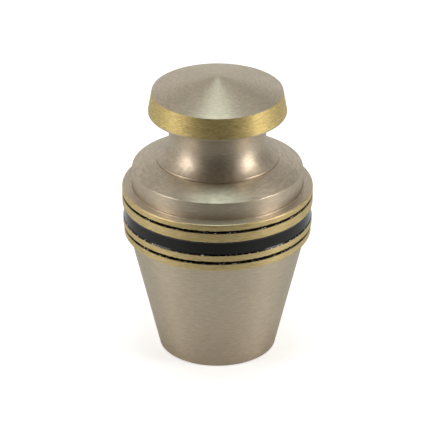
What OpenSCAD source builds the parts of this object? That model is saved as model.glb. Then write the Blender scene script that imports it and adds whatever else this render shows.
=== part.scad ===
// Small cremation urn: a tapered metal vessel with inlaid enamel bands and a
// capped, waisted lid that rests on the shoulder and plugs the mouth.
// Origin at the centre of the underside, +Z up, everything turned about Z.

/* [Vessel body] */
// Radius of the underside before the edge is rounded
base_r = 15.4; // [12:0.1:19]
// Radius of the rounded bottom edge
base_edge_r = 0.6; // [0.2:0.1:1]
// Radius of the tapered body just under the bands
body_top_r = 23.3; // [21:0.1:24]
// Height of the tapered body
body_h = 33.1; // [24:0.1:42]
// Wall thickness all round
wall_t = 1.8; // [1:0.1:2]
// Thickness of the floor of the vessel
floor_t = 2.6; // [1.6:0.1:4]
// Radius of the shallow recess in the underside
recess_r = 12.0; // [8:0.1:14]
// Depth of the shallow recess in the underside
recess_h = 0.6; // [0.2:0.1:1]

/* [Bands] */
// Radius of the lowest brass ring
low_ring_r = 24.55; // [24.4:0.05:26]
// Height of the lowest brass ring
low_ring_h = 1.8; // [1.2:0.1:2.4]
// Radius of the brass ring under the wide band
under_ring_r = 24.8; // [24.5:0.05:26]
// Height of the brass ring under the wide band
under_ring_h = 1.65; // [1.2:0.05:2.4]
// Radius of the brass ring over the wide band
over_ring_r = 25.0; // [24.5:0.05:26.5]
// Height of the brass ring over the wide band
over_ring_h = 2.5; // [1.5:0.1:3.5]
// Radius of the topmost brass ring
top_ring_r = 25.0; // [24.5:0.05:26.5]
// Height of the topmost brass ring
top_ring_h = 1.7; // [1.2:0.1:2.6]
// Height of the lower enamel line
lower_line_h = 1.0; // [0.5:0.05:1.5]
// Height of the wide enamel band
wide_band_h = 4.0; // [2.5:0.1:6]
// Height of the upper enamel line
upper_line_h = 0.8; // [0.4:0.05:1.4]
// Thickness of the enamel in its grooves
enamel_t = 0.8; // [0.4:0.1:1]
// How far the wide enamel band lies below the face of the ring under it
band_sink = 0.22; // [0.1:0.02:0.4]
// How far the narrow enamel lines lie below the faces of their rings
line_sink = 0.25; // [0.05:0.05:0.5]
// Height of the sloping edge where the wide enamel band climbs to a ring
band_edge_h = 0.5; // [0.2:0.05:0.8]
// Rounding along the edges of the brass rings
ring_edge_r = 0.3; // [0.1:0.05:0.5]
// Rounding along the upper edge of the topmost brass ring
top_edge_r = 0.5; // [0.2:0.1:0.8]

/* [Shoulder] */
// Radius of the fine bead between the ledge and the wall
bead_r = 0.2; // [0.1:0.05:0.4]
// Radius of the upright wall over the ledge
wall_r = 22.4; // [21.8:0.1:22.6]
// Height from the ledge to the turn of the shoulder
wall_h = 4.85; // [3.5:0.05:7]
// Rounding where the wall turns into the shoulder
shoulder_edge_r = 0.35; // [0.2:0.05:1.2]
// How far the slope of the shoulder swells above a straight line
shoulder_swell = 0.22; // [0:0.02:0.3]
// Height the shoulder climbs from its edge to the lid
shoulder_rise = 2.8; // [1.8:0.05:3.2]
// Radius of the mouth
mouth_r = 12.0; // [11:0.1:12.4]
// Wall of the collar that hangs inside the mouth
collar_t = 1.8; // [1.2:0.1:2.4]
// Length of the collar below the seat
collar_h = 6.2; // [5:0.1:8]

/* [Lid] */
// Radius of the lip at the foot of the lid
foot_r = 16.15; // [15.6:0.05:17]
// Height of the lip at the foot of the lid
foot_h = 0.7; // [0.5:0.05:1.1]
// Rounding of the lip at the foot of the lid
foot_edge_r = 0.25; // [0.1:0.05:0.35]
// Radius of the neck at its waist
waist_r = 12.7; // [12.4:0.1:13.2]
// Height from the seat to the waist
waist_h = 6.5; // [5.9:0.1:7]
// Radius of the hollow curve below the waist
flare_r = 7.0; // [6.6:0.1:8]
// Radius of the hollow curve above the waist
throat_r = 10.0; // [9:0.1:14]
// Height from the seat to the underside of the cap
neck_h = 12.95; // [11.5:0.05:15]
// Radius of the lip under the cap
cap_lip_r = 18.1; // [17.5:0.05:19]
// Height of the lip under the cap
cap_lip_h = 0.5; // [0.35:0.05:0.8]
// Rounding along the lower edge of the lip under the cap
cap_edge_r = 0.3; // [0.1:0.05:0.35]
// Radius at the top of the sloping band round the cap
cap_top_r = 17.15; // [15:0.05:18]
// Height of the sloping band round the cap
cap_band_h = 5.4; // [4:0.1:7]
// Height of the shallow cone on top, before its tip is rounded
cone_h = 4.45; // [2.5:0.05:6]
// Rounding of the tip of the cone
tip_r = 12.0; // [4:1:20]
// How far the cone swells above a straight line
cone_swell = 0.25; // [0:0.05:0.5]
// Radial gap between the plug of the lid and the mouth
plug_gap = 0.1; // [0.05:0.05:0.3]
// Wall of the hollow plug
plug_t = 1.6; // [1.2:0.1:2]
// Length of the plug below the seat
plug_h = 5.5; // [4:0.1:6]
// Bevel on the leading edge of the plug
plug_bevel = 0.5; // [0.2:0.1:1]

/* [Hidden] */
$fn = 96;
// Number of steps in each small rounded edge
edge_steps = 6;
// Number of steps in each long, slightly swollen slope
swell_steps = 16;
// Length by which cutting shapes overrun
over = 1;
// Levels of the bands, from the lowest ring up
low_ring_z = body_h;
lower_line_z = low_ring_z + low_ring_h;
under_ring_z = lower_line_z + lower_line_h;
wide_band_z = under_ring_z + under_ring_h;
over_ring_z = wide_band_z + wide_band_h;
upper_line_z = over_ring_z + over_ring_h;
top_ring_z = upper_line_z + upper_line_h;
ledge_z = top_ring_z + top_ring_h;
// Levels of the shoulder, the seat of the lid and the cap
shoulder_z = ledge_z + wall_h;
seat_z = shoulder_z + shoulder_rise;
foot_z = seat_z + foot_h;
waist_z = seat_z + waist_h;
cap_z = seat_z + neck_h;
cap_band_z = cap_z + cap_lip_h;
cone_z = cap_band_z + cap_band_h;
// Faces of the enamel rings and the floors of their grooves
lower_line_r = low_ring_r - line_sink;
wide_band_r = under_ring_r - band_sink;
upper_line_r = top_ring_r - line_sink;
lower_line_in_r = lower_line_r - enamel_t;
wide_band_in_r = wide_band_r - enamel_t;
upper_line_in_r = upper_line_r - enamel_t;
// Cavity of the vessel: parallel to the taper, then straight up
taper = (body_top_r - base_r) / body_h;
wall_side = wall_t * sqrt(1 + taper * taper);
cavity_r = wall_r - wall_t;
knee_z = (cavity_r - base_r + wall_side) / taper;
// Shoulder slope and its underside
shoulder_slope = shoulder_rise / (wall_r - foot_r);
shoulder_drop = wall_t * sqrt(1 + shoulder_slope * shoulder_slope);
shoulder_edge_slope = atan(shoulder_slope) + atan(4 * shoulder_swell / (wall_r - foot_r));
shoulder_start = [
    wall_r - shoulder_edge_r + shoulder_edge_r * sin(shoulder_edge_slope),
    shoulder_z - shoulder_edge_r / 2 + shoulder_edge_r * cos(shoulder_edge_slope)
];
cavity_top_z = seat_z - (cavity_r - foot_r) * shoulder_slope - shoulder_drop;
// Plug and hollow of the lid
plug_r = mouth_r - plug_gap;
bore_r = plug_r - plug_t;
bore_top_z = cap_z + cap_lip_h;
cone_slope = atan(cone_h / cap_top_r);
tip_slope = cone_slope - atan(4 * cone_swell / cap_top_r);
tip_z = cone_z + cone_h - tip_r * (1 / cos(tip_slope) - 1);
tip_start = [tip_r * sin(tip_slope), tip_z - tip_r + tip_r * cos(tip_slope)];

// Points along an arc about (cr, cz)
function arc(cr, cz, r, from, to) = [
    for (i = [0 : edge_steps])
        let (a = from + (to - from) * i / edge_steps)
        [cr + r * cos(a), cz + r * sin(a)]
];

// Points between a and b, swelling to the right of the way from a to b
function swollen(a, b, swell) = [
    for (i = [1 : swell_steps - 1])
        let (
            t = i / swell_steps,
            side = [b[1] - a[1], a[0] - b[0]] / norm(b - a)
        )
        a + (b - a) * t + side * swell * 4 * t * (1 - t)
];

// Outside of the vessel below the bands and above them
module vessel_outline() {
    polygon(concat(
        [[0, 0]],
        arc(base_r - base_edge_r, base_edge_r, base_edge_r, -90, 0),
        [
            [body_top_r, body_h],
            [low_ring_r - ring_edge_r, body_h]
        ],
        arc(low_ring_r - ring_edge_r, body_h + ring_edge_r, ring_edge_r, -90, 0),
        [
            [low_ring_r, lower_line_z],
            [lower_line_in_r, lower_line_z],
            [lower_line_in_r, under_ring_z],
            [under_ring_r, under_ring_z],
            [under_ring_r, wide_band_z],
            [wide_band_in_r, wide_band_z],
            [wide_band_in_r, over_ring_z]
        ],
        arc(over_ring_r - ring_edge_r, over_ring_z + ring_edge_r, ring_edge_r, -90, 0),
        [
            [over_ring_r, upper_line_z],
            [upper_line_in_r, upper_line_z],
            [upper_line_in_r, top_ring_z],
            [top_ring_r, top_ring_z]
        ],
        arc(top_ring_r - top_edge_r, ledge_z - top_edge_r, top_edge_r, 0, 90),
        arc(wall_r + bead_r, ledge_z, bead_r, 0, 180),
        arc(wall_r - shoulder_edge_r, shoulder_z - shoulder_edge_r / 2,
            shoulder_edge_r, 0, 90 - shoulder_edge_slope),
        swollen(shoulder_start, [foot_r, seat_z], shoulder_swell),
        [
            [foot_r, seat_z],
            [0, seat_z]
        ]
    ));
}

// Hollow inside the vessel, open at the mouth
module vessel_hollow() {
    polygon([
        [0, floor_t],
        [base_r - wall_side + taper * floor_t, floor_t],
        [cavity_r, knee_z],
        [cavity_r, cavity_top_z],
        [foot_r, seat_z - shoulder_drop],
        [mouth_r + collar_t, seat_z - shoulder_drop],
        [mouth_r + collar_t, seat_z - collar_h],
        [mouth_r, seat_z - collar_h],
        [mouth_r, seat_z + over],
        [0, seat_z + over]
    ]);
}

// Tapered vessel with brass rings, a stepped shoulder and a collared mouth
module vessel() {
    color([0.61, 0.57, 0.50])
        difference() {
            rotate_extrude()
                vessel_outline();
            rotate_extrude()
                vessel_hollow();
            translate([0, 0, -over])
                cylinder(h = recess_h + over, r = recess_r);
        }
}

// Narrow black line below the lower pair of rings
module lower_enamel_line() {
    color([0.03, 0.03, 0.03])
        rotate_extrude()
            translate([lower_line_in_r, lower_line_z])
                square([enamel_t, lower_line_h]);
}

// Wide black band with sloping edges where it climbs to the rings
module enamel_band() {
    color([0.03, 0.03, 0.03])
        rotate_extrude()
            polygon([
                [wide_band_in_r, wide_band_z],
                [under_ring_r, wide_band_z],
                [wide_band_r, wide_band_z + band_edge_h],
                [wide_band_r, over_ring_z - band_edge_h],
                [under_ring_r, over_ring_z],
                [wide_band_in_r, over_ring_z]
            ]);
}

// Narrow black line between the upper pair of rings
module upper_enamel_line() {
    color([0.03, 0.03, 0.03])
        rotate_extrude()
            translate([upper_line_in_r, upper_line_z])
                square([enamel_t, upper_line_h]);
}

// Solid outline of the lid before the neck is hollowed by its two curves
module lid_blank() {
    polygon(concat(
        [
            [0, seat_z - plug_h],
            [plug_r - plug_bevel, seat_z - plug_h],
            [plug_r, seat_z - plug_h + plug_bevel],
            [plug_r, seat_z]
        ],
        arc(foot_r - foot_edge_r, seat_z + foot_edge_r, foot_edge_r, -90, 0),
        arc(foot_r - foot_edge_r, foot_z - foot_edge_r, foot_edge_r, 0, 90),
        [
            [foot_r - foot_edge_r, cap_z]
        ],
        arc(cap_lip_r - cap_edge_r, cap_z + cap_edge_r, cap_edge_r, -90, 0),
        [
            [cap_lip_r, cap_band_z],
            [cap_top_r, cone_z]
        ],
        swollen([cap_top_r, cone_z], tip_start, cone_swell),
        arc(0, tip_z - tip_r, tip_r, 90 - tip_slope, 90)
    ));
}

// Area outside the neck, bounded by a curve below the waist and one above
module neck_hollow() {
    intersection() {
        translate([waist_r + flare_r, waist_z])
            circle(r = flare_r);
        translate([waist_r, foot_z])
            square([flare_r, waist_z - foot_z]);
    }
    intersection() {
        translate([waist_r + throat_r, waist_z])
            circle(r = throat_r);
        translate([waist_r, waist_z])
            square([throat_r, cap_z - waist_z]);
    }
}

// Capped lid with a hollow waisted neck and a plug that enters the mouth
module lid() {
    color([0.61, 0.57, 0.50])
        difference() {
            rotate_extrude()
                difference() {
                    lid_blank();
                    neck_hollow();
                }
            translate([0, 0, seat_z - plug_h - over])
                cylinder(h = bore_top_z - seat_z + plug_h + over, r = bore_r);
        }
}

vessel();
lower_enamel_line();
enamel_band();
upper_enamel_line();
lid();
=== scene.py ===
"""Small cremation urn on a white studio floor.

The vessel and lid have a brushed pewter finish, with brass rings and black enamel bands.
"""

import math

import bpy
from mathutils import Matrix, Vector


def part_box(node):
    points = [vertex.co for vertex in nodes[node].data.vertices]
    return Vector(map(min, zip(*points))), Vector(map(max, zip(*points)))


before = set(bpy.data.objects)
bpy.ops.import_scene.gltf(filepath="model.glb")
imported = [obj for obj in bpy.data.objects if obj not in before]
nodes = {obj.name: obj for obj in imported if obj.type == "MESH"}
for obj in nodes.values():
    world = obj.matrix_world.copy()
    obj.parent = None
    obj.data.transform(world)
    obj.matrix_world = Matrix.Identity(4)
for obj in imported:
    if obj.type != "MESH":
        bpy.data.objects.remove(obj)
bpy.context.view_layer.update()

VESSEL_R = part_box("vessel")[1].x
LID_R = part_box("lid")[1].x
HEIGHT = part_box("lid")[1].z


# ---------------------------------------------------------------- node helpers
# Most of a noise lies in this range
NOISE_RANGE = (0.3, 0.7)


class Graph:
    """A short way to add and join the nodes of one material or world."""

    def __init__(self, owner):
        owner.use_nodes = True
        self.tree = owner.node_tree
        self.tree.nodes.clear()

    def add(self, kind, **values):
        node = self.tree.nodes.new(kind)
        for name, value in values.items():
            setattr(node, name, value)
        return node

    def link(self, source, target):
        self.tree.links.new(source, target)

    def feed(self, socket, value):
        """Links a socket to the input, or sets a number or colour on it."""
        if isinstance(value, bpy.types.NodeSocket):
            self.link(value, socket)
        else:
            socket.default_value = value

    def set_all(self, node, **values):
        """Sets inputs by name, an underscore standing for each space."""
        for name, value in values.items():
            node.inputs[name.replace("_", " ")].default_value = value

    def math(self, operation, a, b=0.0):
        node = self.add("ShaderNodeMath", operation=operation)
        self.feed(node.inputs[0], a)
        self.feed(node.inputs[1], b)
        return node.outputs[0]

    def total(self, *values):
        result = values[0]
        for value in values[1:]:
            result = self.math("ADD", result, value)
        return result

    def vector(self, x, y, z):
        node = self.add("ShaderNodeCombineXYZ")
        for socket, value in zip(node.inputs, (x, y, z)):
            self.feed(socket, value)
        return node.outputs[0]

    def noise(self, vector, scale, detail, roughness=0.5):
        node = self.add("ShaderNodeTexNoise", noise_dimensions="3D")
        self.link(vector, node.inputs["Vector"])
        self.set_all(node, Scale=scale, Detail=detail, Roughness=roughness)
        return node.outputs["Fac"]

    def remap(self, value, from_lo, from_hi, to_lo, to_hi):
        node = self.add("ShaderNodeMapRange", clamp=True)
        self.link(value, node.inputs["Value"])
        self.set_all(node, From_Min=from_lo, From_Max=from_hi, To_Min=to_lo, To_Max=to_hi)
        return node.outputs["Result"]

    def swing(self, noise, lo, hi):
        """Spreads the usual range of a noise over lo to hi."""
        return self.remap(noise, *NOISE_RANGE, lo, hi)

    def mix(self, factor, a, b, blend="MIX"):
        node = self.add("ShaderNodeMix", data_type="RGBA", blend_type=blend)
        self.feed(node.inputs["Factor"], factor)
        self.feed(node.inputs["A"], a)
        self.feed(node.inputs["B"], b)
        return node.outputs["Result"]


class TurnedSurface:
    """The place of the shaded point on a piece turned about Z."""

    # How much a step outwards counts beside a step upwards, so that flat faces carry rings too
    OUTWARD_SHARE = 0.83
    SMEAR_ALONG = 34.0
    SMEAR_ACROSS = 1500.0

    def __init__(self, graph):
        self.graph = graph
        self.place = graph.add("ShaderNodeTexCoord").outputs["Object"]
        parts = graph.add("ShaderNodeSeparateXYZ")
        graph.link(self.place, parts.inputs[0])
        x, y, self.height = parts.outputs
        squares = graph.math("ADD", graph.math("MULTIPLY", x, x), graph.math("MULTIPLY", y, y))
        radius = graph.math("SQRT", squares)
        safe = graph.math("MAXIMUM", radius, 1e-5)
        self.cosine = graph.math("DIVIDE", x, safe)
        self.sine = graph.math("DIVIDE", y, safe)
        self.level = graph.math(
            "ADD", self.height, graph.math("MULTIPLY", radius, self.OUTWARD_SHARE)
        )

    def streaks(self, along, across, detail):
        """Noise drawn out round the axis: few changes along a stroke, many across it."""
        graph = self.graph
        vector = graph.vector(
            graph.math("MULTIPLY", self.cosine, along),
            graph.math("MULTIPLY", self.sine, along),
            graph.math("MULTIPLY", self.level, across),
        )
        return graph.noise(vector, 1.0, detail)

    def smear(self, levels, reach):
        """1 in ragged patches that reach out from each of these heights, 0 elsewhere."""
        graph = self.graph
        nearest = None
        for level in levels:
            gap = graph.math("ABSOLUTE", graph.math("SUBTRACT", self.height, level))
            nearest = gap if nearest is None else graph.math("MINIMUM", nearest, gap)
        ragged = self.streaks(self.SMEAR_ALONG, self.SMEAR_ACROSS, 3.0)
        return graph.math("LESS_THAN", nearest, graph.remap(ragged, 0.35, 0.7, 0.0, reach))


def start_material(name):
    """A material with a Principled shader, and its graph and surface."""
    material = bpy.data.materials.new(name)
    graph = Graph(material)
    output = graph.add("ShaderNodeOutputMaterial")
    shader = graph.add("ShaderNodeBsdfPrincipled")
    graph.link(shader.outputs[0], output.inputs["Surface"])
    return material, graph, shader, TurnedSurface(graph)


def roughen(graph, shader, height, strength, distance):
    """Gives the shader a bump of this height."""
    bump = graph.add("ShaderNodeBump")
    graph.set_all(bump, Strength=strength, Distance=distance)
    graph.link(height, bump.inputs["Height"])
    graph.link(bump.outputs[0], shader.inputs["Normal"])


# ------------------------------------------------------------------- materials
# Scales and ACROSS values are changes per metre, ALONG values changes per radian round the axis
FINE_ACROSS = 5200.0
BROAD_ALONG = 5.0
BROAD_ACROSS = 3000.0
METAL_CLOUD = 60.0
METAL_SPECK = 2600.0
# The lightest and darkest brush marks add up to this, so that their depth leaves the mean tone
SHADE_SUM = 1.92
# How far the roughness swings either way with each noise
ROUGH_SWING = 0.03
# How far enamel has crept over the metal, and the share of the metal's tone left under it
CREEP_REACH = 0.00018
CREEP_SHADE = 0.02
METAL_RELIEF = 0.00003

ENAMEL_CLOUD = 220.0
ENAMEL_LINES = 3500.0
ENAMEL_SPECK = 3200.0
# Pale marks along the lower edges of the enamel: partly chipped edges, partly painted glints of
# light
NICK_AND_GLINT_ALONG = 40.0
NICK_AND_GLINT_ACROSS = 1200.0
NICK_AND_GLINT_THRESHOLD = 0.59
NICK_AND_GLINT_REACH = 0.0005
ENAMEL_RELIEF = 0.00004


def brushed_metal(
    name, colour, tint, roughness, anisotropy, grain, strokes, darkest, enamel_levels=()
):
    """A turned and brushed metal.

    colour and tint are its two tones, grain the depth of the brush marks, strokes how short
    they are and darkest how dark. Enamel has crept over the metal beside enamel_levels.
    """
    material, graph, shader, surface = start_material(name)
    graph.set_all(shader, Metallic=1.0, Anisotropic=anisotropy, Anisotropic_Rotation=0.25)
    tangent = graph.add("ShaderNodeTangent", direction_type="RADIAL", axis="Z")
    graph.link(tangent.outputs[0], shader.inputs["Tangent"])

    fine = surface.streaks(strokes, FINE_ACROSS, 3.0)
    broad = surface.streaks(BROAD_ALONG, BROAD_ACROSS, 3.0)
    cloud = graph.noise(surface.place, METAL_CLOUD, 3.0, 0.55)
    speck = graph.noise(surface.place, METAL_SPECK, 1.0)

    tone = graph.mix(graph.swing(broad, 0.0, 1.0), colour, tint)
    shade = graph.remap(fine, 0.25, 0.75, darkest, SHADE_SUM - darkest)
    shade = graph.math("MULTIPLY", shade, graph.swing(cloud, 0.95, 1.04))
    if enamel_levels:
        crept = surface.smear(enamel_levels, CREEP_REACH)
        shade = graph.math("MULTIPLY", shade, graph.remap(crept, 0.0, 1.0, 1.0, CREEP_SHADE))
    grey = graph.vector(shade, shade, shade)
    graph.link(graph.mix(1.0, tone, grey, "MULTIPLY"), shader.inputs["Base Color"])

    rough = graph.total(
        graph.swing(broad, -ROUGH_SWING, ROUGH_SWING),
        graph.swing(cloud, -ROUGH_SWING, ROUGH_SWING),
        graph.swing(speck, -ROUGH_SWING, ROUGH_SWING),
        roughness,
    )
    graph.link(rough, shader.inputs["Roughness"])
    marks = graph.math("ADD", fine, graph.math("MULTIPLY", broad, 0.6))
    roughen(graph, shader, marks, grain, METAL_RELIEF)
    return material


def black_enamel(name, lower_edges, ior, gloss_lo, gloss_hi):
    """Black fill, a little uneven where it was poured and rubbed back.

    It has pale marks along lower_edges, partly chipped edges and partly painted glints of light
    on the edge.
    """
    material, graph, shader, surface = start_material(name)
    shader.inputs["IOR"].default_value = ior
    cloud = graph.noise(surface.place, ENAMEL_CLOUD, 3.0, 0.6)
    lines = surface.streaks(BROAD_ALONG, ENAMEL_LINES, 2.0)
    speck = graph.noise(surface.place, ENAMEL_SPECK, 1.0)

    black = graph.mix(graph.swing(cloud, 0.0, 1.0), ENAMEL, ENAMEL_PALE)
    # Pale marks along the lower edges: partly chipped enamel, partly painted glints of light
    dashes = surface.streaks(NICK_AND_GLINT_ALONG, NICK_AND_GLINT_ACROSS, 2.0)
    nicks_and_glints = graph.math("GREATER_THAN", dashes, NICK_AND_GLINT_THRESHOLD)
    nicks_and_glints = graph.math("MULTIPLY", nicks_and_glints, surface.smear(lower_edges, NICK_AND_GLINT_REACH))
    graph.link(graph.mix(nicks_and_glints, black, NICK_AND_GLINT), shader.inputs["Base Color"])
    rough = graph.total(graph.swing(cloud, gloss_lo, gloss_hi), graph.swing(lines, -0.03, 0.04))
    graph.link(rough, shader.inputs["Roughness"])
    uneven = graph.math("ADD", cloud, graph.math("MULTIPLY", speck, 0.3))
    roughen(graph, shader, uneven, 0.25, ENAMEL_RELIEF)
    return material


PEWTER = (0.66, 0.57, 0.45, 1.0)
PEWTER_WARM = (0.62, 0.525, 0.405, 1.0)
BRASS = (0.69, 0.525, 0.20, 1.0)
BRASS_PALE = (0.78, 0.62, 0.29, 1.0)
RING_BRASS = (0.68, 0.52, 0.23, 1.0)
RING_BRASS_PALE = (0.77, 0.61, 0.33, 1.0)
ENAMEL = (0.0008, 0.001, 0.0006, 1.0)
ENAMEL_PALE = (0.002, 0.0024, 0.0015, 1.0)
# Colour of the pale marks: partly chipped enamel, partly a painted glint of light on the edge
NICK_AND_GLINT = (0.5, 0.47, 0.4, 1.0)

fills = ("lower_enamel_line", "enamel_band", "upper_enamel_line")
fill_bottoms = [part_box(fill)[0].z for fill in fills]
fill_tops = [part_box(fill)[1].z for fill in fills]
pewter = brushed_metal(
    "pewter_brushed", PEWTER, PEWTER_WARM,
    roughness=0.445, anisotropy=0.64, grain=0.45, strokes=11.0, darkest=0.81,
)
brass = brushed_metal(
    "brass_brushed", BRASS, BRASS_PALE,
    roughness=0.48, anisotropy=0.35, grain=0.8, strokes=14.0, darkest=0.7,
)
brass_rings = brushed_metal(
    "brass_rings", RING_BRASS, RING_BRASS_PALE,
    roughness=0.48, anisotropy=0.35, grain=0.8, strokes=12.0, darkest=0.76,
    enamel_levels=fill_tops,
)
enamel_gloss = black_enamel(
    "enamel_gloss", fill_bottoms[1:2], ior=1.42, gloss_lo=0.1, gloss_hi=0.17
)
enamel_dull = black_enamel(
    "enamel_dull", fill_bottoms[0::2], ior=1.15, gloss_lo=0.45, gloss_hi=0.6
)


# ------------------------------------------------------- materials on the parts
# Brass begins at these shares of the radius of the vessel and of the lid
RINGS_FROM = 0.965
CAP_BAND_FROM = 0.9


def clothe(node, materials, choose):
    """Gives a CAD node these materials, one for each face, chosen by its radius and normal."""
    mesh = nodes[node].data
    mesh.materials.clear()
    for material in materials:
        mesh.materials.append(material)
    for face in mesh.polygons:
        face.material_index = choose(face.center.xy.length, face.normal)


def on_vessel(radius, normal):
    """Brass on the outer faces of the rings, pewter elsewhere."""
    return int(radius > RINGS_FROM * VESSEL_R and abs(normal.z) < 0.9)


def on_lid(radius, normal):
    """Brass on the sloping band round the cap, pewter elsewhere."""
    return int(radius > CAP_BAND_FROM * LID_R and 0.1 < normal.z < 0.5)


clothe("vessel", (pewter, brass_rings), on_vessel)
clothe("lid", (pewter, brass), on_lid)
for fill, material in zip(fills, (enamel_dull, enamel_gloss, enamel_dull)):
    clothe(fill, (material,), lambda radius, normal: 0)


# ------------------------------------------------------------- floor and world
WHITE = (1.0, 1.0, 1.0, 1.0)
FLOOR_SIZE = 6.0
FLOOR_TONE = 0.9
# The floor glows a little for the camera, so that it shows white round the shadow
FLOOR_GLOW = 0.55
# In reflections the floor darkens from FLOOR_NEAR to FLOOR_FAR in front of the urn, and stays so
FLOOR_NEAR = 0.07
FLOOR_FAR = 0.13
FLOOR_MIRROR_DROP = 0.7
# The room is dim in front of the urn and bright behind it, as round a photographer's table
ROOM_FRONT = (0.07, 0.07, 0.06, 1.0)
ROOM_BACK = (0.95, 0.95, 0.95, 1.0)
ROOM_BACK_HIGH = (0.48, 0.48, 0.465, 1.0)
ROOM_LEFT = (0.55, 0.53, 0.51, 1.0)
ROOM_RIGHT = (0.29, 0.28, 0.265, 1.0)
# Where each change in the room begins and ends, as a part of the unit direction looked in
BACK_HIGH_RANGE = (0.1, 0.6)
FRONT_TO_BACK_RANGE = (0.0, 0.6)
LEFT_TO_RIGHT_RANGE = (-0.5, 0.5)
ASIDE_RANGE = (0.3, 0.9)


def studio_floor():
    bpy.ops.mesh.primitive_plane_add(size=FLOOR_SIZE, location=(0.0, 0.0, 0.0))
    floor = bpy.context.object
    floor.name = "studio_floor"
    material = bpy.data.materials.new("floor_white")
    graph = Graph(material)
    output = graph.add("ShaderNodeOutputMaterial")
    plain = graph.add("ShaderNodeBsdfDiffuse")
    glow = graph.add("ShaderNodeEmission")
    both = graph.add("ShaderNodeAddShader")
    rays = graph.add("ShaderNodeLightPath")
    place = graph.add("ShaderNodeSeparateXYZ")
    graph.link(graph.add("ShaderNodeTexCoord").outputs["Object"], place.inputs[0])

    in_front = graph.math("MULTIPLY", place.outputs["Y"], -1.0)
    drop = graph.remap(in_front, FLOOR_NEAR, FLOOR_FAR, 0.0, FLOOR_MIRROR_DROP)
    drop = graph.math("MULTIPLY", rays.outputs["Is Glossy Ray"], drop)
    graph.link(graph.math("SUBTRACT", FLOOR_TONE, drop), plain.inputs["Color"])
    glow.inputs["Color"].default_value = WHITE
    seen = graph.math("MULTIPLY", rays.outputs["Is Camera Ray"], FLOOR_GLOW)
    graph.link(seen, glow.inputs["Strength"])
    graph.link(plain.outputs[0], both.inputs[0])
    graph.link(glow.outputs[0], both.inputs[1])
    graph.link(both.outputs[0], output.inputs["Surface"])
    floor.data.materials.append(material)


def studio_world():
    world = bpy.data.worlds.new("studio")
    bpy.context.scene.world = world
    graph = Graph(world)
    output = graph.add("ShaderNodeOutputWorld")
    background = graph.add("ShaderNodeBackground")
    graph.link(background.outputs[0], output.inputs["Surface"])
    rays = graph.add("ShaderNodeLightPath")
    parts = graph.add("ShaderNodeSeparateXYZ")
    graph.link(graph.add("ShaderNodeTexCoord").outputs["Generated"], parts.inputs[0])
    sideways, backwards, upwards = parts.outputs

    high = graph.remap(upwards, *BACK_HIGH_RANGE, 0.0, 1.0)
    back = graph.mix(high, ROOM_BACK, ROOM_BACK_HIGH)
    behind = graph.remap(backwards, *FRONT_TO_BACK_RANGE, 0.0, 1.0)
    room = graph.mix(behind, ROOM_FRONT, back)
    right = graph.remap(sideways, *LEFT_TO_RIGHT_RANGE, 0.0, 1.0)
    beside = graph.mix(right, ROOM_LEFT, ROOM_RIGHT)
    aside = graph.remap(graph.math("ABSOLUTE", sideways), *ASIDE_RANGE, 0.0, 1.0)
    room = graph.mix(aside, room, beside)
    shown = graph.mix(rays.outputs["Is Camera Ray"], room, WHITE)
    graph.link(shown, background.inputs["Color"])


# ---------------------------------------------------------------------- lamps
MIDDLE = Vector((0.0, 0.0, HEIGHT / 2))
WARM = (1.0, 0.96, 0.92)
COOL = (0.84, 1.0, 0.98)


def aim(thing, target):
    """Turns a lamp or camera towards the target."""
    thing.rotation_euler = (target - thing.location).to_track_quat("-Z", "Y").to_euler()


def softbox(name, place, width, height, watts, colour):
    data = bpy.data.lights.new(name, "AREA")
    data.shape = "ELLIPSE"
    data.size = width
    data.size_y = height
    data.energy = watts
    data.color = colour
    lamp = bpy.data.objects.new(name, data)
    bpy.context.scene.collection.objects.link(lamp)
    lamp.location = place
    aim(lamp, MIDDLE)


studio_floor()
studio_world()
softbox("softbox_left", (-0.77, -0.27, 0.36), 0.45, 0.7, 2.2, WARM)
softbox("softbox_right", (0.77, -0.27, 0.36), 0.4, 0.7, 3.3, WARM)
softbox("softbox_top", (0.0, 0.07, 0.99), 0.5, 0.5, 2.35, COOL)

# --------------------------------------------------------------------- camera
CAMERA_ELEVATION = math.radians(26.8)
CAMERA_DISTANCE = 1.0397
CAMERA_AIM_SHARE = 0.4753
SENSOR_WIDTH = 36.0
LENS = 329.25
CAMERA_SHIFT = -0.0035

look_at = Vector((0.0, 0.0, CAMERA_AIM_SHARE * HEIGHT))
away = Vector((0.0, -math.cos(CAMERA_ELEVATION), math.sin(CAMERA_ELEVATION)))
camera_data = bpy.data.cameras.new("camera")
camera_data.sensor_width = SENSOR_WIDTH
camera_data.lens = LENS
camera_data.shift_x = CAMERA_SHIFT
camera = bpy.data.objects.new("camera", camera_data)
bpy.context.scene.collection.objects.link(camera)
camera.location = look_at + CAMERA_DISTANCE * away
aim(camera, look_at)
bpy.context.scene.camera = camera
bpy.context.scene.view_settings.view_transform = "Standard"
